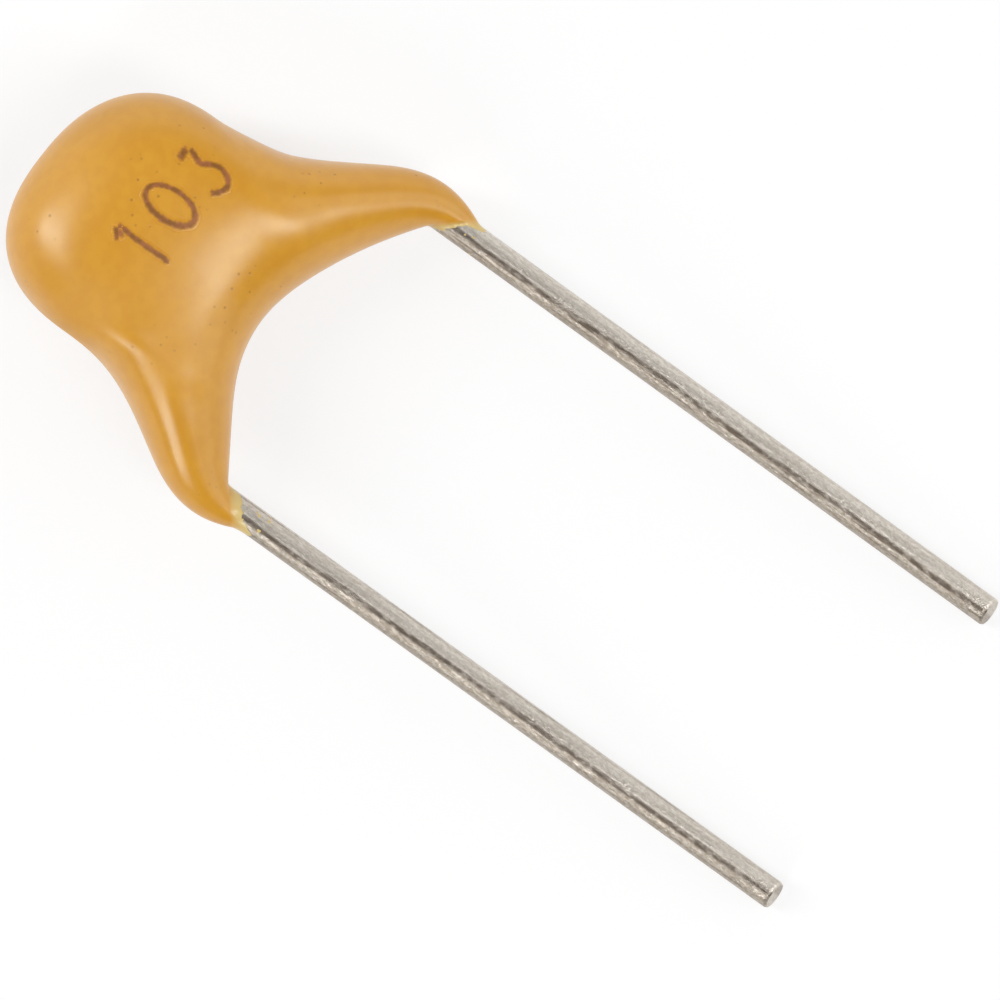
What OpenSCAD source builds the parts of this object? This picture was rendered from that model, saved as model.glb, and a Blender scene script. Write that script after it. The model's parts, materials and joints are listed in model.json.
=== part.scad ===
// Radial-leaded multilayer ceramic capacitor, dipped in epoxy, with spread leads.
//
// It is drawn flat first: X across the two leads, Y from the lead tips up to the top of the body,
// Z through its thickness, with the middle of both wires at Z = 0 and Y = 0 where the coating ends on
// the right lead. lie() then lays it on its back, as it comes to rest on a table: on the back of the
// body and on the two lead tips. The origin is on the table, in the middle of the overall size.

/* [Leads] */
// Distance between the centres of the two leads
lead_pitch = 5.08; // [4.6:0.02:6.4]
// Diameter of the tinned wire
wire_d = 0.43; // [0.38:0.01:0.56]
// Length of bare straight lead below the coating, on the right
lead_length = 9.3; // [4:0.05:25]
// How much shorter the left lead is cut
left_cut = 0.15; // [0:0.01:0.3]
// Centre-line radius of the bends that spread a lead
bend_r = 0.5; // [0.35:0.05:0.7]
// Angle of the spread stretch of a lead from the straight ones
spread_angle = 45; // [35:1:55]
// Height above the end of the coating where a lead becomes straight
straight_from = 0.7; // [0.6:0.05:1.2]
// Angle of the cut face at a lead's tip, from square across
tip_angle = 20; // [0:1:50]

/* [Chip] */
// Length of the chip's ceramic between its two end faces
chip_l = 1.9; // [1.5:0.05:3.2]
// Height of the chip along the leads
chip_h = 2.15; // [1.8:0.05:3]
// Thickness of the chip through its layers
chip_t = 1.2; // [0.8:0.05:1.8]
// Distance from the upper bends of the leads to the chip
chip_rise = 0.3; // [0.1:0.05:0.8]
// Number of electrode plates, joined in turn to the left and the right end
plate_count = 12; // [4:2:16]
// Thickness of an electrode plate
plate_t = 0.03; // [0.01:0.005:0.035]
// Gap between a plate's free end and the chip's other end face
plate_end_gap = 0.3; // [0.1:0.05:0.5]
// Ceramic left beside a plate's two long edges
plate_side_gap = 0.25; // [0.1:0.05:0.5]
// Ceramic cover outside the first and the last plate
cover_t = 0.18; // [0.1:0.01:0.25]

/* [End terminations and solder] */
// Thickness of the metal end caps
termination_t = 0.08; // [0.03:0.01:0.12]
// How far an end cap wraps round the chip
termination_band = 0.4; // [0.2:0.05:0.6]
// Corner radius of an end cap
termination_r = 0.12; // [0.05:0.01:0.2]
// Solder between an end cap and the wire
solder_film = 0.03; // [0.02:0.01:0.06]
// Solder left round the outside of the wire
solder_t = 0.05; // [0.03:0.01:0.08]
// Width of the solder fillet where it meets the end cap
solder_foot = 1; // [0.8:0.05:1.2]
// How far the solder joint starts above the bottom of the chip
solder_start = 0.25; // [0.1:0.05:0.5]
// Height of the solder joint along the wire
solder_h = 1.4; // [0.8:0.05:1.6]
// How far the wire stands out above the solder
wire_end = 0.1; // [0.05:0.05:0.2]

/* [Coating] */
// Coating beside the soldered wires
side_wall = 0.31; // [0.2:0.01:0.6]
// Coating over the chip's two faces
face_wall = 0.57; // [0.4:0.01:0.8]
// Coating above the chip
top_wall = 0.73; // [0.6:0.01:1.2]
// How far beyond a wire the flare of the body aims, before the taper on to the lead cuts it back
flare_reach = 0.37; // [0.25:0.01:0.45]
// Coating at its thin end on a wire
lip_t = 0.03; // [0.02:0.005:0.06]
// Depth of the web from the upper bends down to the crown of the arch
web_depth = 0.72; // [0.4:0.01:0.9]
// Half width of the round crown of the arch
crown_r = 1.48; // [0.6:0.01:2]
// How far the flare of the body reaches up beside the chip
flare_rise = 1.18; // [0.9:0.01:1.4]
// Height above the end of the coating where the taper on to the left lead starts
left_taper_from = 1.75; // [1.4:0.01:2]
// Height above the end of the coating where the taper on to the right lead starts
right_taper_from = 1.5; // [1.3:0.01:2]
// Share of each half outline, from the lead up, over which the legs swell to the full thickness
swell_share = 0.72; // [0.6:0.01:0.8]
// Squareness of the left half of the body's top: 2 is an ellipse, and more is squarer
left_top_power = 2.45; // [2:0.05:3]
// Squareness of the right half of the body's top
right_top_power = 2.35; // [2:0.05:3]
// Swell of the right flank of the body, below its waist
flank_swell = 0.035; // [0:0.005:0.08]
// Distance over which the faces round down to the outer edge
outer_roll = 1.2; // [0.8:0.05:1.6]
// Distance over which the faces round down to the edge of the arch
arch_roll = 1.4; // [0.8:0.05:1.8]
// Where the coating ends on the inner side of the left lead
left_hem_inner = 0.7; // [0.45:0.01:0.75]
// Where the coating ends on the outer side of the left lead
left_hem_outer = 0.28; // [0.1:0.01:0.4]
// Where the coating ends on the inner side of the right lead
right_hem_inner = 0.54; // [0.35:0.01:0.7]
// How far the body stands off centre between the leads
body_shift = -0.065; // [-0.1:0.005:0.1]
// How far the crown of the arch stands off centre
crown_shift = -0.19; // [-0.3:0.01:0.3]
// Slope of the top of the body across its width
top_slope = 0.04; // [-0.06:0.005:0.06]

/* [Hidden] */
$fn = 64;
// Half of the stations round the arch, and points round each station's section
half_stations = 40;
section_points = 28;
// Length of the round top's outline for each millimetre of its height, which shares out the stations
top_stretch = 1.6;
// How far below the start of a leg's taper the flare's S-curve ends
flare_overrun = 1.65;
// Height of the flank that swells, from the waist down
swell_length = 1.2;
// Facets of a solder fillet's curved side
fillet_steps = 12;

wire_r = wire_d / 2;
// The wire beside the chip, and its way out to the pitch
wire_x = chip_l / 2 + termination_t + solder_film + wire_r;
lead_x = lead_pitch / 2;
bend_out = bend_r * (1 - cos(spread_angle));
bend_down = bend_r * sin(spread_angle);
slant_length = (lead_x - wire_x - 2 * bend_out) / sin(spread_angle);
spread_top = straight_from + 2 * bend_down + slant_length * cos(spread_angle);

// The chip above the bends
chip_y = spread_top + chip_rise;
chip_top = chip_y + chip_h;
wire_top = chip_y + solder_start + solder_h + wire_end;
plate_step = (chip_t - 2 * cover_t - plate_t) / (plate_count - 1);

// The coating's main lines
body_x = wire_x + wire_r + solder_t + side_wall;
body_half_t = chip_t / 2 + termination_t + face_wall;
hem_half_t = wire_r + lip_t;
flare_x = lead_x + wire_r + flare_reach;
hem_x = lead_x + wire_r + lip_t;
hem_inner_x = lead_x - wire_r - lip_t / 2;
top_y = chip_top + top_wall;
waist_y = chip_y + flare_rise;
crown_y = spread_top - web_depth;
// Share of a half outline that is its side, where the rest is its round top
side_share = waist_y / (waist_y + top_stretch * (top_y - waist_y));

function two_digits(i) = str(i < 10 ? "0" : "", i);
function plate_name(i) = str("electrode_", two_digits(i));

// ---- The coating's outline, as functions of side (-1 left, 1 right) and of q, which runs from 0 at
// ---- the end of the coating on a lead to 1 at the middle of the body

// An S-shaped step from 0 to 1, flat and uncurved at both ends
function blend(t) = let (c = min(max(t, 0), 1)) c * c * c * (c * (6 * c - 15) + 10);

function hem_outer(side) = side < 0 ? left_hem_outer : 0;
function hem_inner(side) = side < 0 ? left_hem_inner : right_hem_inner;
function taper_from(side) = side < 0 ? left_taper_from : right_taper_from;
function top_power(side) = side < 0 ? left_top_power : right_top_power;

// Swell of a flank at height y: from 0 at the waist to its most half way down, and back to 0
function swell(side, y) = let (t = min(max((waist_y - y) / swell_length, 0), 1))
    side < 0 ? 0 : flank_swell * pow(4 * t * (1 - t), 2);

// Half width at height y: the body, its flare down to the legs, and the taper on to the lead, which
// between them make the shoulder
function half_width(side, y) =
    let (flare = blend((waist_y - y) / (waist_y - taper_from(side) + flare_overrun)))
    let (taper = max(0, (taper_from(side) - y) / (taper_from(side) - hem_outer(side))))
    body_x + swell(side, y) + (flare_x - body_x) * flare - (flare_x - hem_x) * pow(taper, 2);

// Outer outline up one side of the body
function side_point(side, s) =
    let (y = hem_outer(side) + (waist_y - hem_outer(side)) * s)
    [side * half_width(side, y) + body_shift * blend(y / waist_y), y];

// Outer outline over the top: a superellipse, by the angle a from straight up
function top_point(side, a) =
    let (across = pow(sin(a) / body_x, top_power(side)))
    let (up = pow(cos(a) / (top_y - waist_y), top_power(side)))
    let (r = pow(across + up, -1 / top_power(side)))
    [side * r * sin(a) + body_shift, waist_y + r * cos(a) * (1 - top_slope * side * sin(a))];

function outer_point(side, q) =
    q < side_share ? side_point(side, q / side_share)
    : top_point(side, 90 * (1 - q) / (1 - side_share));

// Edge of the arch: a hyperbola with a round crown
function arch_drop(x) = sqrt(1 + pow(x / crown_r, 2)) - 1;
function arch_point(side, q) =
    let (x = hem_inner_x * (1 - q))
    let (fall = crown_y - hem_inner(side))
    [side * x + crown_shift * blend(q), crown_y - fall * arch_drop(x) / arch_drop(hem_inner_x)];

// Half thickness in the middle of a section: it swells from the lead up to the body
function half_thickness(q) = hem_half_t + (body_half_t - hem_half_t) * sin(90 * min(q / swell_share, 1));

// Section from the arch (u = 0) to the outside (u = 1): a plateau with round edges where it is long,
// and an ellipse where it is short
function rounding(d, roll) = 1 - exp(-2 * d / roll);
function section_height(u, length) =
    sqrt(rounding(u * length, arch_roll) * rounding((1 - u) * length, outer_roll)
        / (rounding(length / 2, arch_roll) * rounding(length / 2, outer_roll)));

function section(side, q) =
    let (inner = arch_point(side, q), outer = outer_point(side, q))
    let (length = norm(outer - inner), half = half_thickness(q))
    [for (k = [0 : section_points - 1])
        let (a = 360 * k / section_points, u = (1 - cos(a)) / 2)
        let (p = inner + (outer - inner) * u)
        [p.x, p.y, sign(sin(a)) * half * section_height(u, length)]];

stations = 2 * half_stations + 1;
coating_points = [for (i = [0 : stations - 1])
    each section(i < half_stations ? -1 : 1, 1 - abs(i / half_stations - 1))];

function corner(i, k) = i * section_points + k % section_points;
coating_faces = concat(
    [[for (k = [section_points - 1 : -1 : 0]) corner(0, k)]],
    [for (i = [0 : stations - 2], k = [0 : section_points - 1])
        [corner(i, k), corner(i + 1, k + 1), corner(i + 1, k)]],
    [for (i = [0 : stations - 2], k = [0 : section_points - 1])
        [corner(i, k), corner(i, k + 1), corner(i + 1, k + 1)]],
    [[for (k = [0 : section_points - 1]) corner(stations - 1, k)]]
);

// ---- How it lies: the tilt at which the back of the body and the lead tips touch the table

lie_angle = max([for (p = coating_points) atan2(-p.z - wire_r, p.y + lead_length)]);
lie_up = lead_length * sin(lie_angle) + wire_r * cos(lie_angle);
lie_along = (lead_length - top_y) * cos(lie_angle) / 2;

module lie() {
    translate([0, lie_along, lie_up]) rotate([lie_angle, 0, 0]) children();
}

// ---- Shapes that repeat

// Children drawn for the right side, on the given side
module on_side(side) {
    mirror([side < 0 ? 1 : 0, 0, 0]) children();
}

// Round bar along Y from y0 to y1
module bar(y0, y1) {
    translate([0, y0, 0]) rotate([-90, 0, 0]) cylinder(r = wire_r, h = y1 - y0);
}

// Bend of the wire to the left of the way it runs, from the origin and starting along Y
module turn() {
    translate([-bend_r, 0, 0])
        rotate_extrude(angle = spread_angle) translate([bend_r, 0]) circle(r = wire_r);
}

// Children moved from the start of a turn to its end
module past_turn() {
    translate([-bend_r, 0, 0]) rotate([0, 0, spread_angle]) translate([bend_r, 0, 0]) children();
}

module rounded_rectangle(w, h, r) {
    square([w - 2 * r, h], center = true);
    square([w, h - 2 * r], center = true);
    for (x = [-1, 1], y = [-1, 1])
        translate([x * (w / 2 - r), y * (h / 2 - r)]) circle(r = r);
}

module chip_block() {
    translate([-chip_l / 2, chip_y, -chip_t / 2]) cube([chip_l, chip_h, chip_t]);
}

// Electrode plate i, counted from 1 at the back: odd ones meet the left end, even ones the right
module plate(i) {
    x0 = i % 2 == 1 ? -chip_l / 2 : -chip_l / 2 + plate_end_gap;
    z0 = -chip_t / 2 + cover_t + (i - 1) * plate_step;
    translate([x0, chip_y + plate_side_gap, z0])
        cube([chip_l - plate_end_gap, chip_h - 2 * plate_side_gap, plate_t]);
}

// Outside of a right end cap, with its ends and band filled in
module termination_block() {
    depth = termination_band + termination_t;
    translate([chip_l / 2 - termination_band, chip_y + chip_h / 2, 0])
        rotate([90, 0, 90])
            linear_extrude(depth)
                rounded_rectangle(chip_h + 2 * termination_t, chip_t + 2 * termination_t, termination_r);
}

// Right solder joint with no wire in it: a half round coat outside the wire, and a fillet to the end cap
module solder_block() {
    reach = solder_film + wire_r;
    coat = wire_r + solder_t;
    fillet = [for (s = [0 : fillet_steps])
        [s / fillet_steps * reach, coat + (solder_foot / 2 - coat) * pow(1 - s / fillet_steps, 2)]];
    translate([wire_x - reach, chip_y + solder_start, 0]) rotate([-90, 0, 0]) {
        linear_extrude(solder_h)
            polygon(concat(fillet, [for (s = [fillet_steps : -1 : 0]) [fillet[s].x, -fillet[s].y]]));
        translate([reach, 0, 0]) rotate([0, 0, -90]) rotate_extrude(angle = 180) square([coat, solder_h]);
    }
}

// Straight stretch of a lead that stands out of the coating by length, with its slanted tip
module straight_lead(length) {
    difference() {
        bar(-length - straight_from, 0);
        translate([0, -length - straight_from, -wire_r])
            rotate([-tip_angle, 0, 0])
                translate([-wire_d, -2 * wire_d, 0]) cube([2 * wire_d, 2 * wire_d, 3 * wire_d]);
    }
}

// Right lead from its tip: straight up, in along the spread, and up the chip's end face
module wire(length = lead_length) {
    translate([lead_x, straight_from, 0]) {
        straight_lead(length);
        turn();
        past_turn() {
            bar(0, slant_length);
            translate([0, slant_length, 0]) mirror([1, 0, 0]) {
                turn();
                past_turn() bar(0, wire_top - spread_top);
            }
        }
    }
}

// ---- One module per piece

module epoxy_coating() {
    color([0.84, 0.62, 0.25]) lie() difference() {
        polyhedron(coating_points, coating_faces, convexity = 6);
        chip_block();
        for (side = [-1, 1]) on_side(side) {
            termination_block();
            solder_block();
            wire();
        }
    }
}

module ceramic_chip() {
    color([0.86, 0.82, 0.74]) lie() difference() {
        chip_block();
        for (i = [1 : plate_count]) plate(i);
    }
}

module electrode(i) {
    color([0.62, 0.6, 0.58]) lie() plate(i);
}

module end_termination(side) {
    color([0.78, 0.78, 0.76]) lie() on_side(side) difference() {
        termination_block();
        chip_block();
    }
}

module solder_joint(side) {
    color([0.7, 0.71, 0.73]) lie() on_side(side) difference() {
        solder_block();
        wire();
    }
}

module lead_wire(side) {
    color([0.75, 0.72, 0.68]) lie() on_side(side) wire(lead_length - (side < 0 ? left_cut : 0));
}

epoxy_coating();
ceramic_chip();
end_termination(-1);  // left_end_termination
end_termination(1);  // right_end_termination
solder_joint(-1);  // left_solder_joint
solder_joint(1);  // right_solder_joint
lead_wire(-1);  // left_lead_wire
lead_wire(1);  // right_lead_wire
for (i = [1 : plate_count]) electrode(i);
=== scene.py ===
# %% [markdown]
# # A dipped ceramic capacitor
#
# The real part is a block of fired ceramic with metal plates between its layers. A tinned wire is soldered
# to each end of the block, and the whole is dipped in ochre epoxy that runs a little way down both wires.
# The measured model of the part is loaded first, and nothing in it is moved. What is sealed in the coating
# keeps its measured shape, and the surfaces that show are worked out again here with far finer detail.

# %% Load the measured model
import json
import math

import bpy
import numpy as np
from mathutils import Matrix, Vector

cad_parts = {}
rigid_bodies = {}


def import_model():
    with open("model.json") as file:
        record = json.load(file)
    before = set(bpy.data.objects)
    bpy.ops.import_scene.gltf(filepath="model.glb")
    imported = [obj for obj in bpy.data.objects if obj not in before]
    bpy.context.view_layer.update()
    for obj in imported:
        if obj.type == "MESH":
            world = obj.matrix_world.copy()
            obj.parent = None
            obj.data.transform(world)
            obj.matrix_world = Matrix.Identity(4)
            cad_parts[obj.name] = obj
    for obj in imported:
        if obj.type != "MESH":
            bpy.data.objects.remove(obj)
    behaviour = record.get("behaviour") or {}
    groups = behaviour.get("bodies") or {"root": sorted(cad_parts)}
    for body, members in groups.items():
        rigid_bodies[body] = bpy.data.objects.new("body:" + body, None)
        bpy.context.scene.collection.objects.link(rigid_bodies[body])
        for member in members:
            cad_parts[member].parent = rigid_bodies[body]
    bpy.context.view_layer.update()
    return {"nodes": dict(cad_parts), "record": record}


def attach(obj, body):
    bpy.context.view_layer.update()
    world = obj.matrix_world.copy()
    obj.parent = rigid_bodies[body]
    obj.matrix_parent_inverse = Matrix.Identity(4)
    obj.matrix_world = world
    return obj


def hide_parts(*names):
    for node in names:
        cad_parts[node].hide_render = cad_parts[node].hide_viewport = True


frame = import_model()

MM = 0.001

# %% [markdown]
# ## Drawing it flat
# On the table the part rests on its back and on the tip of its longer lead, so it leans by a few degrees.
# Its shape is easier to write down in a flat drawing: x across the leads, y up from the tips to the top of
# the body, and z out of the marked face. The record gives a point on the right lead, its length and the way
# it runs, and that is all that is needed to go from the drawing to the table and back.

# %% From the drawing to the table, and back
MOUNTS = {mount["name"]: mount for mount in frame["record"]["mounts"]}
LEFT, RIGHT = -1, 1
LEAD_X = MOUNTS["lead_pair"]["dims"]["pcd_mm"] / 2
WIRE_RADIUS = MOUNTS["right_lead"]["dims"]["r_mm"]
LEAD_LENGTH = {LEFT: MOUNTS["left_lead"]["dims"]["length_mm"],
               RIGHT: MOUNTS["right_lead"]["dims"]["length_mm"]}
LEAN_COS = -MOUNTS["right_lead"]["axis"][1]
LEAN_SIN = -MOUNTS["right_lead"]["axis"][2]
MIDDLE_OF_LEAD = np.array(MOUNTS["right_lead"]["pos_m"]) / MM
DRAWING_ORIGIN = MIDDLE_OF_LEAD + np.array(
    [-LEAD_X, LEAN_COS * LEAD_LENGTH[RIGHT] / 2, LEAN_SIN * LEAD_LENGTH[RIGHT] / 2])
LEAN = np.array([[1, 0, 0], [0, LEAN_COS, -LEAN_SIN], [0, LEAN_SIN, LEAN_COS]])


def on_table(points):
    """Points of the drawing, in mm, leaned about the x axis and moved to their place, in metres."""
    return (points @ LEAN.T + DRAWING_ORIGIN) * MM


def in_drawing(points):
    """Points on the table, in metres, moved and leaned back into the drawing, in mm."""
    return (points / MM - DRAWING_ORIGIN) @ LEAN


def drawn_box(node):
    """Lowest and highest corner of a measured node's points in the drawing, in mm."""
    vertices = frame["nodes"][node].data.vertices
    flat = np.empty(len(vertices) * 3, np.float32)
    vertices.foreach_get("co", flat)
    points = in_drawing(flat.reshape(-1, 3).astype(float))
    return points.min(axis=0), points.max(axis=0)


CHIP_LOW, CHIP_HIGH = drawn_box("ceramic_chip")
END_CAP_HIGH = drawn_box("right_end_termination")[1]
SOLDER_HIGH = drawn_box("right_solder_joint")[1]
WIRE_LOW, WIRE_HIGH = drawn_box("right_lead_wire")
print("lean:", round(math.degrees(math.asin(LEAN_SIN)), 2), "degrees")
print("chip from", CHIP_LOW.round(3), "to", CHIP_HIGH.round(3), "mm in the drawing")

# %% [markdown]
# ## Grids that become meshes
# Every new piece is a grid of points that a formula gives, so one small set of helpers turns any grid into
# a closed mesh. Each ring of a tube wraps round, and a fan of triangles closes each end. A piece of several
# shells, such as printed strokes, is made by adding the shells' arrays together. The sign of the enclosed
# volume says whether the faces point outwards, which is simpler and surer than asking Blender to guess.
# Curves, metaballs or a sculpted ball could be used instead, but none of them can be told so exactly where
# each point lies. First come a few lines of arithmetic that many of the shapes share.

# %% Shared arithmetic


def lengths(vectors):
    """Lengths of rows of vectors: the root of the sum of their squares."""
    return np.linalg.norm(vectors, axis=-1)


def running_total(steps):
    """The total before each step and after the last, from 0."""
    return np.concatenate([[0], np.cumsum(steps)])


def bell(offset, spread):
    """A bell curve, exp(-(offset / spread) squared): 1 in its middle and about a third at its spread."""
    return np.exp(-(offset / spread) ** 2)


def turn_from(angle, start):
    """The turn from a start to an angle, wrapped to within half a turn either way."""
    return np.angle(np.exp(1j * (angle - start)))


# %% Closed shells from grids


def grid_quads(rows, columns, close_rows=False):
    """Corner numbers of the quads of a grid whose columns wrap round, and its rows too if asked."""
    row = np.arange(rows if close_rows else rows - 1)[:, None]
    column = np.arange(columns)[None, :]
    next_row = (row + 1) % rows
    next_column = (column + 1) % columns
    corners = [row * columns + column, row * columns + next_column,
               next_row * columns + next_column, next_row * columns + column]
    return np.stack(np.broadcast_arrays(*corners), axis=-1).reshape(-1, 4)


def end_fan(ring, centre, backwards):
    """Triangles from each edge of a ring of point numbers to the number of a point in its middle."""
    after = np.roll(ring, -1)
    fan = np.stack([ring, after, np.full_like(ring, centre)], axis=-1)
    return fan[:, ::-1] if backwards else fan


def tube_shell(rings):
    """A closed shell from rings of points: quads between the rings, and a fan over each end."""
    rows, columns, _ = rings.shape
    middles = [rings[0].mean(axis=0)[None], rings[-1].mean(axis=0)[None]]
    points = np.concatenate([rings.reshape(-1, 3), *middles])
    first = np.arange(columns)
    last = first + (rows - 1) * columns
    fans = [end_fan(first, rows * columns, True), end_fan(last, rows * columns + 1, False)]
    return points, grid_quads(rows, columns), np.concatenate(fans)


def loop_shell(rings):
    """A closed shell from rings of points whose last ring meets the first, like a torus."""
    rows, columns, _ = rings.shape
    return rings.reshape(-1, 3), grid_quads(rows, columns, True), np.zeros((0, 3), int)


def add_shells(shells):
    """Several shells as one: each one's corner numbers go up by the count of the points before it."""
    starts = np.cumsum([0] + [len(points) for points, _, _ in shells[:-1]])
    points = np.concatenate([shell[0] for shell in shells])
    quads = np.concatenate([shell[1] + start for shell, start in zip(shells, starts)])
    triangles = np.concatenate([shell[2] + start for shell, start in zip(shells, starts)])
    return points, quads, triangles


def enclosed_volume(points, quads, triangles):
    """Volume by the divergence theorem: a sixth of the sum of a . (b x c) over all triangles."""
    halves = np.concatenate([quads[:, [0, 1, 2]], quads[:, [0, 2, 3]], triangles])
    a, b, c = (points[halves[:, corner]] for corner in range(3))
    return np.einsum("ij,ij->", a, np.cross(b, c)) / 6


def new_object(name, data):
    """An object at the origin, in the scene."""
    made = bpy.data.objects.new(name, data)
    bpy.context.scene.collection.objects.link(made)
    return made


def make_piece(name, shell, stands_for=(), marks=None):
    """A smooth mesh object that rides on the part, with faces outwards and marks stored on its points."""
    points, quads, triangles = shell
    volume = enclosed_volume(*shell)
    if volume < 0:
        quads, triangles = quads[:, ::-1], triangles[:, ::-1]
    mesh = bpy.data.meshes.new(name)
    mesh.from_pydata(on_table(points), [], quads.tolist() + triangles.tolist())
    mesh.shade_smooth()
    for label, values in (marks or {}).items():
        kind, field = ("FLOAT", "value") if values.ndim == 1 else ("FLOAT_VECTOR", "vector")
        stored = mesh.attributes.new(label, kind, "POINT")
        stored.data.foreach_set(field, values.astype(np.float32).ravel())
    piece = new_object(name, mesh)
    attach(piece, "root")
    if stands_for:
        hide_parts(*stands_for)
    print(name, "-", 2 * len(quads) + len(triangles), "triangles,", round(abs(volume), 4), "mm3")
    return piece


# %% [markdown]
# ## The outline of the coating
# Wet epoxy pulls itself smooth, so the front view has two smooth edges. The outer one climbs from the end
# of the coating on a lead, round the shoulder and up the side, and then goes over the top as a superellipse.
# The inner one is the arch between the leads, which is a hyperbola with a round crown. Both run from 0, at
# the lead, to 1, at the middle of the body, so that a straight section can join them at each stage. Where
# the flank meets the superellipse, the pace along the outer edge would jump, and a gloss shows that as a
# crease, so the places on it are spread again at an even pace. A curve drawn by hand could give the same
# outline, but formulas keep each section in step with the measured leads and chip. All sizes are in mm.

# %% The coating's main lines
SIDE_WALL, FACE_WALL, TOP_WALL = 0.31, 0.57, 0.73
FLARE_REACH, FLARE_RISE, FLARE_OVERRUN = 0.37, 1.18, 1.65
CHIP_RISE, WEB_DEPTH, CROWN_RADIUS, LIP = 0.3, 0.72, 1.48, 0.03
TOP_STRETCH, TOP_SLOPE = 1.6, 0.04
BODY_SHIFT, CROWN_SHIFT = -0.065, -0.19
TOP_POWER = {LEFT: 2.45, RIGHT: 2.35}
TAPER_FROM = {LEFT: 1.75, RIGHT: 1.5}
FLANK_SWELL, SWELL_LENGTH = {LEFT: 0.0, RIGHT: 0.035}, 1.2
HEM_OUTER = {LEFT: 0.28, RIGHT: 0.0}
HEM_INNER = {LEFT: 0.7, RIGHT: 0.54}
BODY_HALF_WIDTH = SOLDER_HIGH[0] + SIDE_WALL
HAIR = 0.006  # keeps the skin just inside the measured box
BODY_HALF_THICKNESS = END_CAP_HIGH[2] + FACE_WALL - HAIR
BODY_TOP = CHIP_HIGH[1] + TOP_WALL - HAIR
WAIST = CHIP_LOW[1] + FLARE_RISE
SPREAD_TOP = CHIP_LOW[1] - CHIP_RISE
CROWN = SPREAD_TOP - WEB_DEPTH
FLARE_X = LEAD_X + WIRE_RADIUS + FLARE_REACH
HEM_X = LEAD_X + WIRE_RADIUS + LIP
HEM_INNER_X = LEAD_X - WIRE_RADIUS - LIP / 2
SIDE_SHARE = WAIST / (WAIST + TOP_STRETCH * (BODY_TOP - WAIST))
print("body top, waist and crown:", np.array([BODY_TOP, WAIST, CROWN]).round(3), "mm above the leads")

# %% The outer edge and the arch


def on_side(side, values):
    """The left or the right value of a pair, for an array of sides."""
    return np.where(side < 0, values[LEFT], values[RIGHT])


def blend(t):
    """An S-shaped step from 0 to 1: c cubed times (6 c squared - 15 c + 10), with c = t held in 0 to 1."""
    c = np.clip(t, 0, 1)
    return c ** 3 * (c * (6 * c - 15) + 10)


def half_width(side, height):
    """The body's half width, plus its flare down to the legs and the swell of a flank, 16 t^2 (1 - t)^2,
    less a square-law taper on to the lead."""
    start = on_side(side, TAPER_FROM)
    t = np.clip((WAIST - height) / SWELL_LENGTH, 0, 1)
    swell = on_side(side, FLANK_SWELL) * 16 * t ** 2 * (1 - t) ** 2
    flare = blend((WAIST - height) / (WAIST - start + FLARE_OVERRUN))
    taper = np.maximum(0, (start - height) / (start - on_side(side, HEM_OUTER)))
    return BODY_HALF_WIDTH + swell + (FLARE_X - BODY_HALF_WIDTH) * flare - (FLARE_X - HEM_X) * taper ** 2


def drawn_edge(side, rise):
    """Up to the waist, the half width at evenly spaced heights. Above it, a superellipse by its angle from
    straight up: (sin / half width) to the power p plus (cos / height) to the power p is 1 / r to the p."""
    hem = on_side(side, HEM_OUTER)
    height = hem + (WAIST - hem) * np.minimum(rise / SIDE_SHARE, 1)
    flank_x = side * half_width(side, height) + BODY_SHIFT * blend(height / WAIST)
    angle = np.pi / 2 * (1 - np.maximum(rise, SIDE_SHARE)) / (1 - SIDE_SHARE)
    power = on_side(side, TOP_POWER)
    across = np.abs(np.sin(angle) / BODY_HALF_WIDTH) ** power
    upward = np.abs(np.cos(angle) / (BODY_TOP - WAIST)) ** power
    reach = (across + upward) ** (-1 / power)
    top_x = side * reach * np.sin(angle) + BODY_SHIFT
    top_y = WAIST + reach * np.cos(angle) * (1 - TOP_SLOPE * side * np.sin(angle))
    on_flank = rise < SIDE_SHARE
    return np.stack([np.where(on_flank, flank_x, top_x), np.where(on_flank, height, top_y)], axis=-1)


PACE_STEPS = 2000
PACE_GRID = np.linspace(0, 1, PACE_STEPS + 1)
PACE_SPREAD = 0.08


def even_pace(side):
    """Places on the drawn edge for even steps of rise, so that the pace along it never jumps: the arc length
    for each step is averaged with a bell curve of weights, added up again and looked up on the edge."""
    arc = running_total(lengths(np.diff(drawn_edge(side, PACE_GRID), axis=0)))
    span = np.arange(-3 * PACE_SPREAD, 3 * PACE_SPREAD, PACE_GRID[1])
    weights = np.exp(-(span / PACE_SPREAD) ** 2 / 2)
    steps = np.pad(np.diff(arc), len(span) // 2, "reflect")
    pace = np.convolve(steps, weights / weights.sum(), "valid")[:len(arc) - 1]
    return np.interp(running_total(pace) * arc[-1] / pace.sum(), arc, PACE_GRID)


PACE = {side: even_pace(np.full(len(PACE_GRID), side)) for side in (LEFT, RIGHT)}


def outer_edge(side, rise):
    """The drawn edge at an even pace, which keeps the pillow that hangs on it free of creases."""
    left, right = (np.interp(rise, PACE_GRID, PACE[end]) for end in (LEFT, RIGHT))
    return drawn_edge(side, np.where(side < 0, left, right))


def arch_drop(x):
    """Fall of the arch from its crown: a hyperbola, the root of 1 + (x / crown radius) squared, less 1."""
    return np.sqrt(1 + (x / CROWN_RADIUS) ** 2) - 1


def arch_edge(side, rise):
    """The arch at evenly spaced distances from the middle, with its crown eased to one side."""
    x = HEM_INNER_X * (1 - rise)
    fall = (CROWN - on_side(side, HEM_INNER)) * arch_drop(x) / arch_drop(HEM_INNER_X)
    return np.stack([side * x + CROWN_SHIFT * blend(rise), CROWN - fall], axis=-1)


left_x, right_x = (outer_edge(side, PACE_GRID)[:, 0] for side in (LEFT, RIGHT))
print("across the shoulders:", round(right_x.max() - left_x.min(), 3), "mm")

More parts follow.
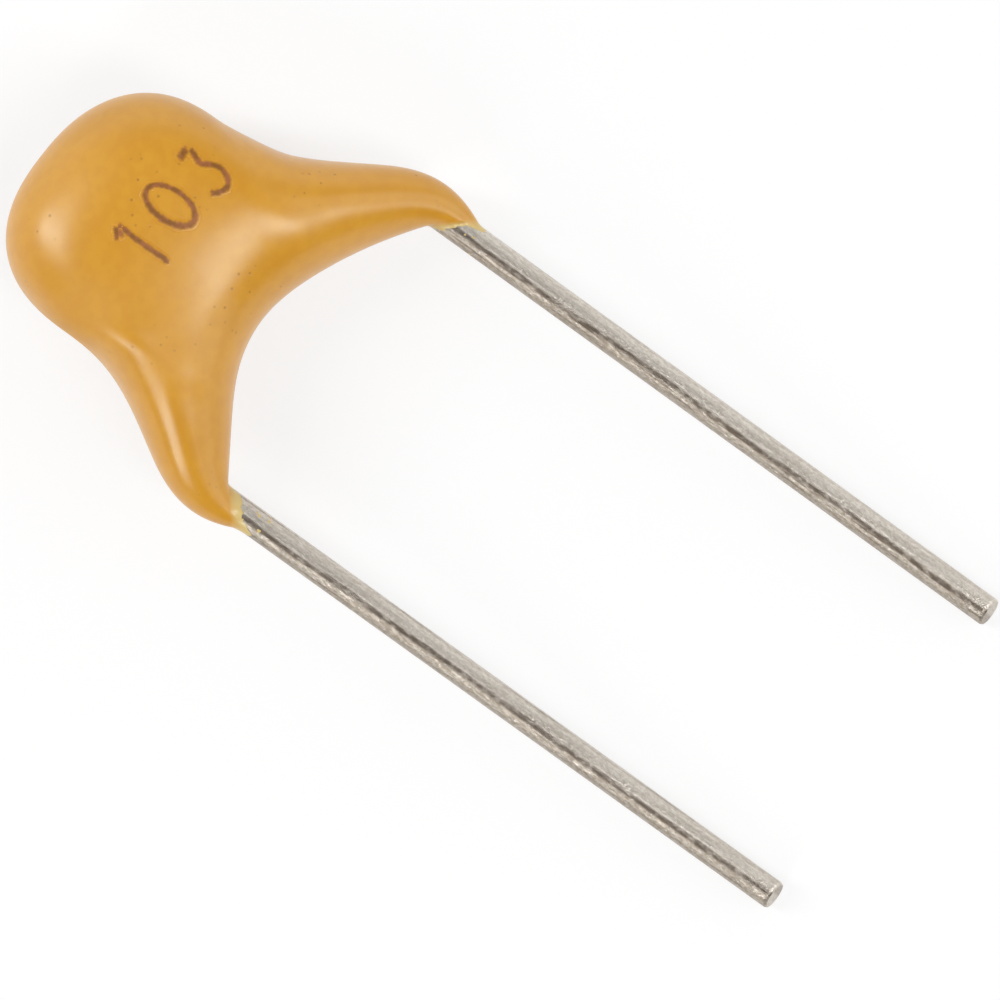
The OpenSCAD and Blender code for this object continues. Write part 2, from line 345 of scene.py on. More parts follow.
# %% [markdown]
# ## The pillow between the edges
# Each section from the arch to the outer edge is a plateau that rolls down to both edges, so a long
# section, through the body, comes out as a pillow, and a short one, down on a leg, as an oval. The sections
# swell from a thin lip at the lead to the full thickness of the body. Soft bells along the rise ease both
# the rolls and the swell, because the highlights of a gloss follow such small changes of slope. A dipped
# surface isn't quite true, so a few slow waves, some thousandths of a millimetre high, keep the reflections
# from looking ruled. A box under a subdivision surface could look much the same from afar, but it is hard
# to tell its curves just where to tighten.

# %% Sections of the coating
SWELL_SHARE = 0.72
OUTER_ROLL, ARCH_ROLL = 1.2, 1.4
OUTER_EASE = np.array([[0.15, 0.16, -0.08], [0.35, 0.16, -0.5], [0.55, 0.16, 0.42]])
ARCH_EASE = np.array([[0.2, 0.18, -0.15], [0.45, 0.18, 0.2], [0.8, 0.25, -0.1]])
SWELL_EASE = np.array([[0.2, 0.14, -0.05], [0.4, 0.14, -0.03], [0.6, 0.14, -0.02]])
WAVE_DEPTH = 0.006
# Each wave: how many radians to a mm across and up, and where it starts.
WAVES = np.array([[1.9, 0.6, 0.3], [-0.8, 2.3, 1.1], [2.7, -1.9, 2.6], [0.9, 3.6, 4.0], [-3.9, 1.2, 5.2]])


def eased(rise, bells):
    """A factor that strays from 1 by soft bells along the rise: e to the power of the sum of each bell times
    its change. A row of bells is a middle, a spread and a change."""
    middle, spread, change = bells.T
    return np.exp((change * bell(rise[..., None] - middle, spread)).sum(axis=-1))


def half_thickness(rise):
    """An eased quarter of a sine wave from the lip at the lead to the body's half thickness."""
    hem = WIRE_RADIUS + LIP
    swell = hem + (BODY_HALF_THICKNESS - hem) * np.sin(np.pi / 2 * np.minimum(rise / SWELL_SHARE, 1))
    return swell * eased(rise, SWELL_EASE)


def rolled(distance, roll):
    """How far a face has risen at a distance from an edge: 1 - exp(-2 distance / roll)."""
    return 1 - np.exp(-2 * distance / roll)


def section_height(share, length, rise):
    """The root of the rise from both edges, as a share of its value in the middle of the section. The rolls
    are eased along the rise, so that the flank is rounder above the waist and the legs are crisper below."""
    inner, outer = ARCH_ROLL * eased(rise, ARCH_EASE), OUTER_ROLL * eased(rise, OUTER_EASE)
    middle = rolled(length / 2, inner) * rolled(length / 2, outer)
    return np.sqrt(rolled(share * length, inner) * rolled((1 - share) * length, outer) / middle)


def unevenness(x, y):
    """The mean of a few slow sine waves over the drawing, scaled and kept under 1, so it only shrinks."""
    phase = x[..., None] * WAVES[:, 0] + y[..., None] * WAVES[:, 1] + WAVES[:, 2]
    return 1 - WAVE_DEPTH * (1 + np.sin(phase).mean(axis=-1))


def coating_place(turn, share):
    """Point (x, y) and height z of the front. Turn is -1 at the left lead, 0 in the middle and 1 at the
    right lead; share goes from 0 at the arch to 1 at the outer edge, along a straight section."""
    side = np.where(turn < 0, LEFT, RIGHT)
    rise = 1 - np.abs(turn)
    inner, outer = arch_edge(side, rise), outer_edge(side, rise)
    length = lengths(outer - inner)
    x, y = np.moveaxis(inner + (outer - inner) * share[..., None], -1, 0)
    return x, y, half_thickness(rise) * section_height(share, length, rise) * unevenness(x, y)


print("half thickness of the body:", half_thickness(np.array([1.0])).round(3), "mm before the waves")

# %% [markdown]
# ## Where the coating ends on a lead
# Epoxy wets the wire, so the coating doesn't stop at a step. It thins out in a hollow curve and ends in a
# ragged edge that runs further down the outer side. Rings that go on from the last section, with a radius
# that falls to the wire's and a reach that changes round it, give that film, and a last ring inside the
# wire closes it. A Boolean or a Solidify can't feather a skin out to nothing like this. Two marks on each
# point, from 0 to 1, guide the finish: how thin the epoxy is, and how matt. Two places on the left flank
# are duller than the rest, which is a choice made for the look and not a known fact about the resin: a
# gloss that is the same all over would catch the key lamp a second time there.

# %% Thin film at the ends of the coating
FILM_RINGS = 16
FILM_HOLLOW = 2.2
FILM_END = 0.002
FILM_ROOT = 0.03
FILM_REACH, WAVE_REACH = 0.07, 0.8
MEAN_REACH = 1.1
# Each ragged wave: how many round the wire, its height, and where it starts.
RAGGED = np.array([[3, 0.45, 0.7], [7, 0.35, 2.9], [12, 0.22, 4.4], [19, 0.12, 1.3]])
# Each tongue: its angle round the wire, its spread, and its length.
TONGUES = {LEFT: np.array([[1.0, 0.75, 0.14], [2.5, 0.8, 0.2]]),
           RIGHT: np.array([[2.1, 0.5, 0.05], [0.65, 0.5, 0.13]])}


def film_reach(side, angle):
    """How far the film runs down the wire at an angle round it: ragged sine waves, plus two long tongues."""
    waves = (RAGGED[:, 1] * np.sin(angle[:, None] * RAGGED[:, 0] + RAGGED[:, 2] * side)).sum(axis=-1)
    middle, spread, length = TONGUES[side].T
    tongues = (length * bell(turn_from(angle[:, None], middle), spread)).sum(axis=-1)
    return FILM_REACH * (MEAN_REACH + waves * WAVE_REACH) + tongues


def film_rings(side, hem):
    """Rings from the hem down the wire. The film's height over the wire falls as (1 - t) to a power, and
    its place along the wire falls evenly with t."""
    centre = np.array([side * LEAD_X, 0])
    spokes = hem[:, [0, 2]] - centre
    radius = lengths(spokes)
    angle = np.arctan2(spokes[:, 1], spokes[:, 0])
    t = (np.arange(FILM_RINGS) + 1)[:, None] / FILM_RINGS
    height = (radius - WIRE_RADIUS - FILM_END) * (1 - t) ** FILM_HOLLOW + FILM_END
    along = hem[:, 1] - film_reach(side, angle) * t
    over = np.concatenate([height, np.full((1, len(hem)), -FILM_ROOT)]) + WIRE_RADIUS
    along = np.concatenate([along, along[-1:] + FILM_ROOT])
    x = centre[0] + over * np.cos(angle)
    z = over * np.sin(angle)
    return np.stack([x, along, z], axis=-1)


whole_turn = np.linspace(0, 2 * np.pi, 361)
longest = [film_reach(side, whole_turn).max().round(3) for side in (LEFT, RIGHT)]
print("the film runs down the left and the right wire by up to", longest, "mm")

# %% The coating as one closed mesh
STATIONS, AROUND = 341, 240
THINNING = 0.22
HEM_THIN = 0.5  # the mark where the coating ends and its film begins
# Each matt place: its middle across and up, and its radius.
MATT_PLACES = np.array([[-1.33, 2.45, 0.38], [-1.6, 3.75, 0.5]])
turns = np.linspace(-1, 1, STATIONS)
angles = 2 * np.pi * np.arange(AROUND) / AROUND
shares = (1 - np.cos(angles)) / 2
front_x, front_y, front_z = coating_place(turns[:, None], np.broadcast_to(shares, (STATIONS, AROUND)))
body_rings = np.stack([front_x, front_y, front_z * np.sign(np.sin(angles).round(9))], axis=-1)
left_film = film_rings(LEFT, body_rings[0])[::-1]
right_film = film_rings(RIGHT, body_rings[-1])
coating_rings = np.concatenate([left_film, body_rings, right_film])
arc = running_total(lengths(np.diff(body_rings, axis=0)).mean(axis=-1))
thin_body = HEM_THIN * np.clip(1 - np.minimum(arc, arc[-1] - arc) / THINNING, 0, 1) ** 2
thin_film = HEM_THIN + (1 - HEM_THIN) * np.minimum(np.arange(1, FILM_RINGS + 2) / FILM_RINGS, 1)
thinness = np.repeat(np.concatenate([thin_film[::-1], thin_body, thin_film]), AROUND)
thinness = np.concatenate([thinness, [1.0, 1.0]])
coating_shell = tube_shell(coating_rings)
from_place = lengths(coating_shell[0][:, None, :2] - MATT_PLACES[:, :2])
matt = bell(from_place, MATT_PLACES[:, 2]).max(axis=-1)
coating = make_piece("dipped_epoxy_coating", coating_shell, ["epoxy_coating"],
                     {"thin": thinness, "matt": matt})

# %% [markdown]
# ## The lead wires
# A lead is one bent wire. It runs straight up from its cut tip, leans in along the spread, and turns
# straight again beside the chip. A circle carried along that route makes it. Pulling wire through a die
# leaves fine grooves along it, and handling adds small nicks, so the radius is cut back a little by
# narrow furrows that run along it, whose depth comes and goes, and by shallow round dents. A curve with a
# round bevel would be quicker to make, but it has the same radius all round and could carry none of them.

# %% The route of a wire
BEND_RADIUS = 0.5
SPREAD_ANGLE = math.radians(45)
STRAIGHT_FROM = 0.7
TIP_ANGLE = math.radians(20)
WIRE_X = WIRE_LOW[0] + WIRE_RADIUS
WIRE_TOP = WIRE_HIGH[1]
BEND_LENGTH = BEND_RADIUS * SPREAD_ANGLE
SLANT_LENGTH = (LEAD_X - WIRE_X - 2 * BEND_RADIUS * (1 - math.cos(SPREAD_ANGLE))) / math.sin(SPREAD_ANGLE)
WIRE_LENGTH = {side: straight + STRAIGHT_FROM + 2 * BEND_LENGTH + SLANT_LENGTH + WIRE_TOP - SPREAD_TOP
               for side, straight in LEAD_LENGTH.items()}
print("length of the left and the right wire:", [round(length, 3) for length in WIRE_LENGTH.values()], "mm")


def wire_route(side, run):
    """Middle and heading of a wire at a run along it from its tip. The run is shared out in turn over the
    straight lead, the first bend, the slant, the second bend and the stretch beside the chip."""
    straight = LEAD_LENGTH[side] + STRAIGHT_FROM
    lead = np.minimum(run, straight)
    first = np.clip(run - straight, 0, BEND_LENGTH) / BEND_RADIUS
    slant = np.clip(run - straight - BEND_LENGTH, 0, SLANT_LENGTH)
    second = np.clip(run - straight - BEND_LENGTH - SLANT_LENGTH, 0, BEND_LENGTH) / BEND_RADIUS
    beside = np.maximum(run - straight - 2 * BEND_LENGTH - SLANT_LENGTH, 0)
    heading = first - second
    inward = BEND_RADIUS * (1 - np.cos(first)) + slant * math.sin(SPREAD_ANGLE)
    inward = inward + BEND_RADIUS * (np.cos(SPREAD_ANGLE - second) - math.cos(SPREAD_ANGLE))
    upward = lead + BEND_RADIUS * np.sin(first) + slant * math.cos(SPREAD_ANGLE)
    upward = upward + BEND_RADIUS * (math.sin(SPREAD_ANGLE) - np.sin(SPREAD_ANGLE - second)) + beside
    return LEAD_X - inward, upward - LEAD_LENGTH[side], heading


# %% Furrows and nicks in a wire
FURROWS = 11
FURROW_WIDTH = 0.05
FURROW_DEPTH = 0.0035
NICKS = 90
NICK_DEPTH = 0.003
NICK_SIZE = (0.018, 0.045)
# The main furrow lies near the top of each wire. Besides a real groove, its dark paint is a painted
# reflection of the dim room overhead.
MAIN_FURROW = {LEFT: math.radians(80), RIGHT: math.radians(102)}
MAIN_FURROW_WIDTH = 0.19
# Ranges for chance to draw from, as multiples of the sizes above.
WIDTHS, DEPTHS, PACES = (0.7, 1.9), (0.2, 0.7), (0.7, 2.2)
NICK_DEPTHS, NICK_STRETCHES = (0.2, 1.0), (1.0, 2.2)
# A furrow strays round the wire by a slow and a quick wave: how far, and how many radians to a mm.
SLOW_STRAY, SLOW_RATE = 0.05, 0.9
QUICK_STRAY, QUICK_RATE = 0.02, 3.1
SWING, MAIN_SWING, SWING_RATE = 0.4, 0.2, 2.3
WIRE_SEED = 31


def wire_relief(side, angle, run):
    """Depth cut away by furrows and by nicks at each angle and run. A furrow is a bell curve round the wire,
    at an angle that wanders slowly and with a depth that comes and goes; a nick is a bell curve both ways."""
    chance = np.random.default_rng(WIRE_SEED + side)
    place = chance.uniform(0, 2 * np.pi, FURROWS)
    place[0] = MAIN_FURROW[side]
    width = FURROW_WIDTH * chance.uniform(*WIDTHS, FURROWS)
    depth = FURROW_DEPTH * chance.uniform(*DEPTHS, FURROWS)
    width[0], depth[0] = MAIN_FURROW_WIDTH, FURROW_DEPTH
    pace = chance.uniform(*PACES, FURROWS)
    start = chance.uniform(0, 2 * np.pi, FURROWS)
    slow = SLOW_STRAY * np.sin(run[:, None] * SLOW_RATE * pace + start)
    wander = slow + QUICK_STRAY * np.sin(run[:, None] * QUICK_RATE * pace)
    swing = 1 - SWING + SWING * np.sin(run[:, None] * SWING_RATE * pace + 2 * start)
    swing[:, 0] = 1 - MAIN_SWING + MAIN_SWING * swing[:, 0]
    off = turn_from(angle[None, :, None] - place, wander[:, None, :])
    furrows = (depth * swing[:, None, :] * bell(off, width)).sum(axis=-1)
    nick_angle = chance.uniform(0, 2 * np.pi, NICKS)
    nick_run = chance.uniform(0, LEAD_LENGTH[side], NICKS)
    nick_size = chance.uniform(*NICK_SIZE, NICKS)
    nick_long = nick_size * chance.uniform(*NICK_STRETCHES, NICKS)
    nick_depth = NICK_DEPTH * chance.uniform(*NICK_DEPTHS, NICKS)
    round_wire = bell(turn_from(angle[:, None], nick_angle) * WIRE_RADIUS, nick_size)
    nicks = bell(run[:, None] - nick_run, nick_long) * nick_depth @ round_wire.T
    return furrows, nicks


# %% [markdown]
# ## The cut tips
# The cutter leaves a slanted end: it presses the edge round and shears the rest flat. A Boolean with a
# slanted block could cut the tip too, but its edge would be sharp and its mesh ragged. Here the first rings
# of the wire lean with the cut and square up within a millimetre, so the tip is part of the same surface.
# Rings that shrink over the cut face close it, and ridges across the face are the marks of the shear.

# %% Wires with cut tips
WIRE_RINGS, WIRE_AROUND = 330, 128
RING_CROWDING = 1.04  # a power that sets the rings a little closer towards the tip
TIP_FADE = 0.8
FACE_RINGS = 14
FACE_FLATNESS = 4
EDGE_ROUND = 0.018
SHEAR_RIDGE, SHEAR_PITCH = 0.003, 0.035
SHEAR_X, SHEAR_Z, SHEAR_BEND = 0.9, 0.4, 3


def cut_face(side, ring):
    """Rings that shrink from the wire's first ring over the slanted cut, and the places of their points.
    The ridges are a sine of x and z, and they flatten as 1 - share to a power towards the edge."""
    share = np.linspace(0, 1, FACE_RINGS + 1)[1:-1, None]
    x, z = share * (ring[:, 0] - side * LEAD_X), share * ring[:, 2]
    phase = 2 * np.pi * (x * SHEAR_X + z * SHEAR_Z) / SHEAR_PITCH + SHEAR_BEND * z / WIRE_RADIUS
    rise = (SHEAR_RIDGE + SHEAR_RIDGE * np.sin(phase)) * (1 - share ** FACE_FLATNESS)
    y = (z + WIRE_RADIUS) * math.tan(TIP_ANGLE) - LEAD_LENGTH[side] + rise
    place = np.stack([side * x / WIRE_RADIUS, z / WIRE_RADIUS, 0 * x], axis=-1)
    return np.stack([x + side * LEAD_X, y, z], axis=-1), place


def make_wire(side, name, node):
    """Rings of the wire's radius, less its relief, square to the route, after the rings of the cut face."""
    run = WIRE_LENGTH[side] * np.linspace(0, 1, WIRE_RINGS) ** RING_CROWDING
    angle = 2 * np.pi * np.arange(WIRE_AROUND) / WIRE_AROUND
    furrows, nicks = wire_relief(side, angle, run)
    edge = EDGE_ROUND * (1 - np.sqrt(np.clip(1 - (1 - run / EDGE_ROUND).clip(0, 1) ** 2, 0, 1)))
    radius = WIRE_RADIUS - furrows - nicks - edge[:, None]
    middle_x, middle_y, heading = wire_route(side, run)
    sideways = radius * np.cos(angle)
    z = radius * np.sin(angle)
    lean = (z + WIRE_RADIUS) * math.tan(TIP_ANGLE) * (1 - blend(run / TIP_FADE))[:, None]
    x = middle_x[:, None] + sideways * np.cos(heading)[:, None]
    y = middle_y[:, None] + sideways * np.sin(heading)[:, None] + lean
    barrel = np.stack([side * x, y, z], axis=-1)
    face, face_place = cut_face(side, barrel[0])
    place = np.stack(np.broadcast_arrays(side * np.cos(angle), np.sin(angle), run[:, None]), axis=-1)
    place = np.concatenate([face_place, place]).reshape(-1, 3)
    ends = np.array([[0, 0, 0], [0, 0, WIRE_LENGTH[side]]])
    groove = np.concatenate([np.zeros(face.shape[:2]), furrows / FURROW_DEPTH]).ravel()
    return make_piece(name, tube_shell(np.concatenate([face, barrel])), [node], {
        "wire_place": np.concatenate([place, ends]), "groove": np.concatenate([groove, [0, 0]])})


wires = [make_wire(LEFT, "left_tinned_wire", "left_lead_wire"),
         make_wire(RIGHT, "right_tinned_wire", "right_lead_wire")]

# %% [markdown]
# ## Flecks of epoxy on the wires
# When the wet part is lifted out of the dip, specks of epoxy stay on the wire just below the coating. Each
# one is a flat dome wrapped round the wire: a squashed ball whose latitude and longitude give the angle,
# the place along the wire and the height over it, with an outline that is a little out of round. Spots in
# the wire's material would be simpler, but only a real dome catches a light of its own.

# %% Flecks below the coating
FLECKS = 12
FLECK_RINGS, FLECK_AROUND = 9, 20
FLECK_SIZE = (0.01, 0.028)
FLECK_STRETCH = (0.7, 1.6)
FLECK_HEIGHT = 0.005
FLECK_ZONE = (-0.2, 0.35)
FLECK_LOBES, FLECK_WOBBLE, FLECK_START = 3, 0.22, (0, 6)
FLECK_THINNESS = 0.85
FLECK_SEED = 57


def make_flecks(side, name):
    """Squashed balls on the wire: angle and run by longitude, height by latitude, half sunk in the wire."""
    chance = np.random.default_rng(FLECK_SEED + side)
    latitude = np.linspace(-np.pi / 2, np.pi / 2, FLECK_RINGS + 2)[1:-1][:, None]
    longitude = 2 * np.pi * np.arange(FLECK_AROUND) / FLECK_AROUND
    shells = []
    for _ in range(FLECKS):
        size, stretch = chance.uniform(*FLECK_SIZE), chance.uniform(*FLECK_STRETCH)
        angle, along = chance.uniform(0, 2 * np.pi), chance.uniform(*FLECK_ZONE)
        wobble = FLECK_WOBBLE * np.sin(FLECK_LOBES * longitude + chance.uniform(*FLECK_START))
        outline = size * (1 + wobble)
        round_wire = angle + outline * np.cos(latitude) * np.cos(longitude) / WIRE_RADIUS
        radius = WIRE_RADIUS + FLECK_HEIGHT * np.sin(latitude) + 0 * longitude
        y = along + stretch * outline * np.cos(latitude) * np.sin(longitude)
        x = side * (LEAD_X + radius * np.cos(round_wire))
        shells.append(tube_shell(np.stack([x, y, radius * np.sin(round_wire)], axis=-1)))
    shell = add_shells(shells)
    return make_piece(name, shell, (), {"thin": np.full(len(shell[0]), FLECK_THINNESS)})


flecks = [make_flecks(LEFT, "left_epoxy_flecks"), make_flecks(RIGHT, "right_epoxy_flecks")]

# %% [markdown]
# ## The printed value
# Parts of this kind carry a three-figure value code in thin brown ink: two figures and a count of noughts,
# as plain as the numbers on a dial. A font or a decal would be quicker, but a stamp's strokes are uneven,
# and ink is a real layer. So each stroke is a low ridge, a few thousandths of a millimetre high, that lies
# on the coating. It is drawn in the flat, by a few points that a smooth curve joins. The height of the
# coating under each point comes from turning the coating's own formula round: Newton's method looks for
# the place on the surface that has the wanted x and y.

# %% Height of the marked face at a point
START_TURNS = np.linspace(-0.5, 0.5, 41)
START_SHARES = np.linspace(0.08, 0.92, 29)
NEWTON_STEPS = 6
NEWTON_NUDGE = 1e-4


def face_height(x, y):
    """Height of the front at points (x, y): the nearest of a coarse grid of places, and then Newton steps,
    each of which solves a two by two matrix of slopes for the change in turn and share."""
    turn_grid, share_grid = (grid.ravel() for grid in np.meshgrid(START_TURNS, START_SHARES))
    grid_x, grid_y, _ = coating_place(turn_grid, share_grid)
    nearest = ((grid_x - x[:, None]) ** 2 + (grid_y - y[:, None]) ** 2).argmin(axis=1)
    turn, share = turn_grid[nearest], share_grid[nearest]
    for _ in range(NEWTON_STEPS):
        here_x, here_y, _ = coating_place(turn, share)
        turned_x, turned_y, _ = coating_place(turn + NEWTON_NUDGE, share)
        shared_x, shared_y, _ = coating_place(turn, share + NEWTON_NUDGE)
        a, b = (turned_x - here_x) / NEWTON_NUDGE, (shared_x - here_x) / NEWTON_NUDGE
        c, d = (turned_y - here_y) / NEWTON_NUDGE, (shared_y - here_y) / NEWTON_NUDGE
        miss_x, miss_y = x - here_x, y - here_y
        area = a * d - b * c
        turn = turn + (d * miss_x - b * miss_y) / area
        share = share + (a * miss_y - c * miss_x) / area
    return coating_place(turn, share)[2]


print("height of the face under the code:", face_height(np.array([0.4]), np.array([3.7])).round(3), "mm")

# %% Strokes of ink
INK_HEIGHT = 0.006
STROKE_STEPS, STROKE_AROUND = 70, 24
NARROWEST = 0.02  # half width of a stroke's very end, as a share of the half width
# A stroke's edge wavers slowly and quickly: by what share of its width, and how many radians to a step.
SLOW_WAVER, SLOW_TURN = 0.09, 0.9
QUICK_WAVER, QUICK_TURN = 0.07, 2.3
OVAL_SHADE, OVAL_HEAVY = 0.14, math.radians(30)


def smooth_path(knots, steps):
    """A Catmull-Rom curve through the knots: on each stretch, the cubic whose slope at a knot is half of
    the way from the knot before to the knot after. The steps crowd at both ends, to draw round ends."""
    knots = np.asarray(knots, float)
    padded = np.concatenate([2 * knots[:1] - knots[1:2], knots, 2 * knots[-1:] - knots[-2:-1]])
    place = (1 - np.cos(np.pi * np.linspace(0, 1, steps))) / 2 * (len(knots) - 1)
    stretch = np.minimum(place.astype(int), len(knots) - 2)
    f = (place - stretch)[:, None]
    before, here, after, beyond = (padded[stretch + k] for k in range(4))
    slope_here, slope_after = (after - before) / 2, (beyond - here) / 2
    cubic = 2 * here - 2 * after + slope_here + slope_after
    square = 3 * (after - here) - 2 * slope_here - slope_after
    return ((cubic * f + square) * f + slope_here) * f + here


def laid_on_face(middle, across, half, phase, body):
    """Rings round a path: half a width to each side, a little uneven, and the ink's height up and down. The
    body of the ink is 1 along the middle of the path and 0 at its edges and its ends."""
    spoke = 2 * np.pi * np.arange(STROKE_AROUND) / STROKE_AROUND
    step = np.arange(len(middle))
    slow = SLOW_WAVER * np.sin(SLOW_TURN * step + phase)
    half = half * (1 + slow + QUICK_WAVER * np.sin(QUICK_TURN * step + 2 * phase))
    x, y = np.moveaxis(middle[:, None] + across[:, None] * (half[:, None] * np.cos(spoke))[..., None], -1, 0)
    base = face_height(x.ravel(), y.ravel()).reshape(x.shape)
    rings = np.stack([x, y, base + INK_HEIGHT * np.sin(spoke)], axis=-1)
    return rings, np.minimum(1 - np.abs(np.cos(spoke)), body[:, None]).ravel()


def stroke(knots, width, phase):
    """A stroke along a smooth path, with round ends: near an end the half width is that of a half circle."""
    middle = smooth_path(knots, STROKE_STEPS)
    along = np.gradient(middle, axis=0)
    along /= lengths(along)[:, None]
    across = np.stack([-along[:, 1], along[:, 0]], axis=-1)
    run = running_total(lengths(np.diff(middle, axis=0)))
    half = width / 2
    from_end = np.clip(np.minimum(run, run[-1] - run) / half, NARROWEST, 1)
    rings, body = laid_on_face(middle, across, half * np.sqrt(1 - (1 - from_end) ** 2), phase, from_end)
    return tube_shell(rings), np.concatenate([body, [0, 0]])


def oval(middle, half_size, lean, width, phase):
    """A closed stroke round an ellipse that leans, as a ring of rings, and heavier on one side."""
    turn = 2 * np.pi * np.arange(STROKE_STEPS) / STROKE_STEPS
    half_wide, half_tall = half_size
    spokes = np.stack([half_wide * np.cos(turn) + lean * np.sin(turn), half_tall * np.sin(turn)], axis=-1)
    across = np.stack([half_tall * np.cos(turn), half_wide * np.sin(turn)], axis=-1)
    across /= lengths(across)[:, None]
    half = width / 2 * (1 - OVAL_SHADE * np.cos(turn - OVAL_HEAVY))
    rings, body = laid_on_face(np.array(middle) + spokes, across, half, phase, np.ones(STROKE_STEPS))
    return loop_shell(rings), body


def make_ink(name, strokes):
    """Strokes as one piece, with the body of the ink stored on its points."""
    shells, bodies = zip(*strokes)
    return make_piece(name, add_shells(shells), marks={"ink_body": np.concatenate(bodies)})


# %% The figures 1, 0 and 3
STROKE_WIDTH, SMUDGE_WIDTH = 0.152, 0.22
NOUGHT_WEIGHT, BAR_WEIGHT = 1.05, 1.35
# The points of each stroke in mm, and then its width and the phase of its waver.
flag = stroke([(-0.488, 3.952), (-0.42, 4.011), (-0.354, 4.076), (-0.284, 4.108)], STROKE_WIDTH, 0.4)
stem = stroke([(-0.28, 4.13), (-0.295, 3.777), (-0.293, 3.5), (-0.287, 3.33), (-0.303, 3.257),
               (-0.36, 3.225)], STROKE_WIDTH, 1.9)
nought = oval((0.366, 3.664), (0.218, 0.396), -0.006, STROKE_WIDTH * NOUGHT_WEIGHT, 0.8)
bar = stroke([(0.925, 3.965), (0.984, 3.944), (1.108, 3.944), (1.19, 3.915)], STROKE_WIDTH * BAR_WEIGHT, 2.2)
bowls = stroke([(1.185, 3.93), (1.141, 3.815), (1.104, 3.724), (1.092, 3.65), (1.153, 3.562),
                (1.192, 3.476), (1.203, 3.398), (1.176, 3.294), (1.124, 3.211), (1.04, 3.169),
                (0.949, 3.198), (0.884, 3.248), (0.81, 3.33)], STROKE_WIDTH, 3.0)
smudge = stroke([(-0.45, 3.95), (-0.35, 4.01), (-0.26, 4.04)], SMUDGE_WIDTH, 5.1)
value_code = make_ink("printed_value", [flag, stem, nought, bar, bowls])
ink_smudge = make_ink("printed_value_smudge", [smudge])

# %% [markdown]
# ## Colours and shader nodes
# Cycles wants linear light, while a paint card gives screen values, so one helper changes one into the
# other. Another adds a node and plugs in what it is given, which keeps each material to a few short lines
# that read like a recipe. The nodes could be placed by hand in the Shader Editor, but a recipe can be read
# and changed in one place. Except on the wires, patterns read the place on the part in metres, so a noise's
# scale is the number of its blotches to a metre. The depth of a bump is in metres everywhere.

# %% Helpers for materials


def paint(red, green, blue):
    """Linear light for screen values from 0 to 255: the screen's curve, undone channel by channel."""
    screen = np.array([red, green, blue]) / 255
    linear = np.where(screen <= 0.04045, screen / 12.92, ((screen + 0.055) / 1.055) ** 2.4)
    return (*linear.tolist(), 1.0)


def add_node(tree, kind, inputs=None, **settings):
    """A new node with its settings; an input is a number, a colour, or another node's output to link."""
    made = tree.nodes.new(kind)
    for setting, value in settings.items():
        setattr(made, setting, value)
    for socket, value in (inputs or {}).items():
        if isinstance(value, bpy.types.NodeSocket):
            tree.links.new(value, made.inputs[socket])
        else:
            made.inputs[socket].default_value = value
    return made


def new_material(name, **constants):
    """A material with its shader's constants set, and its tree."""
    made = bpy.data.materials.new(name)
    made.use_nodes = True
    shader = made.node_tree.nodes["Principled BSDF"]
    for socket, value in constants.items():
        shader.inputs[socket.replace("_", " ")].default_value = value
    return made, made.node_tree, shader


def plug_in(tree, shader, **outputs):
    """Links from patterns to the shader's sockets, by the names of the sockets."""
    for socket, output in outputs.items():
        tree.links.new(output, shader.inputs[socket.replace("_", " ")])


def noise(tree, vector, scale, detail=2.0, roughness=0.5):
    """A noise texture's even grey output."""
    inputs = {"Vector": vector, "Scale": scale, "Detail": detail, "Roughness": roughness}
    return add_node(tree, "ShaderNodeTexNoise", inputs).outputs["Fac"]


def ramp(tree, factor, low, high, to_low=0.0, to_high=1.0):
    """A smooth step: values from low to high become to_low to to_high."""
    inputs = {"Value": factor, "From Min": low, "From Max": high, "To Min": to_low, "To Max": to_high}
    return add_node(tree, "ShaderNodeMapRange", inputs, interpolation_type="SMOOTHSTEP").outputs["Result"]


def mix(tree, factor, first, second):
    """The first colour where the factor is 0, and the second where it is 1."""
    made = add_node(tree, "ShaderNodeMix", {"Factor": factor}, data_type="RGBA")
    for place, value in (("A", first), ("B", second)):
        socket = [s for s in made.inputs if s.name == place and s.type == "RGBA"][0]
        if isinstance(value, bpy.types.NodeSocket):
            tree.links.new(value, socket)
        else:
            socket.default_value = value
    return [s for s in made.outputs if s.type == "RGBA"][0]


def maths(tree, operation, *values):
    """A sum, a product or the like of grey values."""
    return add_node(tree, "ShaderNodeMath", dict(enumerate(values)), operation=operation).outputs[0]


def product(tree, first, second):
    """The product of two grey values."""
    return maths(tree, "MULTIPLY", first, second)


def object_place(tree):
    """Where a point is on the part, in metres."""
    return add_node(tree, "ShaderNodeTexCoord").outputs["Object"]


def mark(tree, name, output="Fac"):
    """A value that is stored on the mesh's points."""
    return add_node(tree, "ShaderNodeAttribute", attribute_name=name).outputs[output]


def bump(tree, height, distance, strength, before=None):
    """A change of the surface's slope from a grey height, on top of the bump before it."""
    inputs = {"Height": height, "Distance": distance, "Strength": strength}
    if before:
        inputs["Normal"] = before
    return add_node(tree, "ShaderNodeBump", inputs).outputs["Normal"]


# %% [markdown]
# ## Ochre epoxy
# Filled epoxy is opaque, warm and glossy, though not mirror-like. Pigment settles unevenly, so slow noise
# moves the ochre between a lighter and a browner shade and finer noise adds a faint cloud. Tiny bubbles
# that burst in the oven leave dark pinholes in groups. Where the film is thin, at the ends, it is paler.
# A painted image could hold all this, but it would blur up close, and nodes stay sharp at any distance.

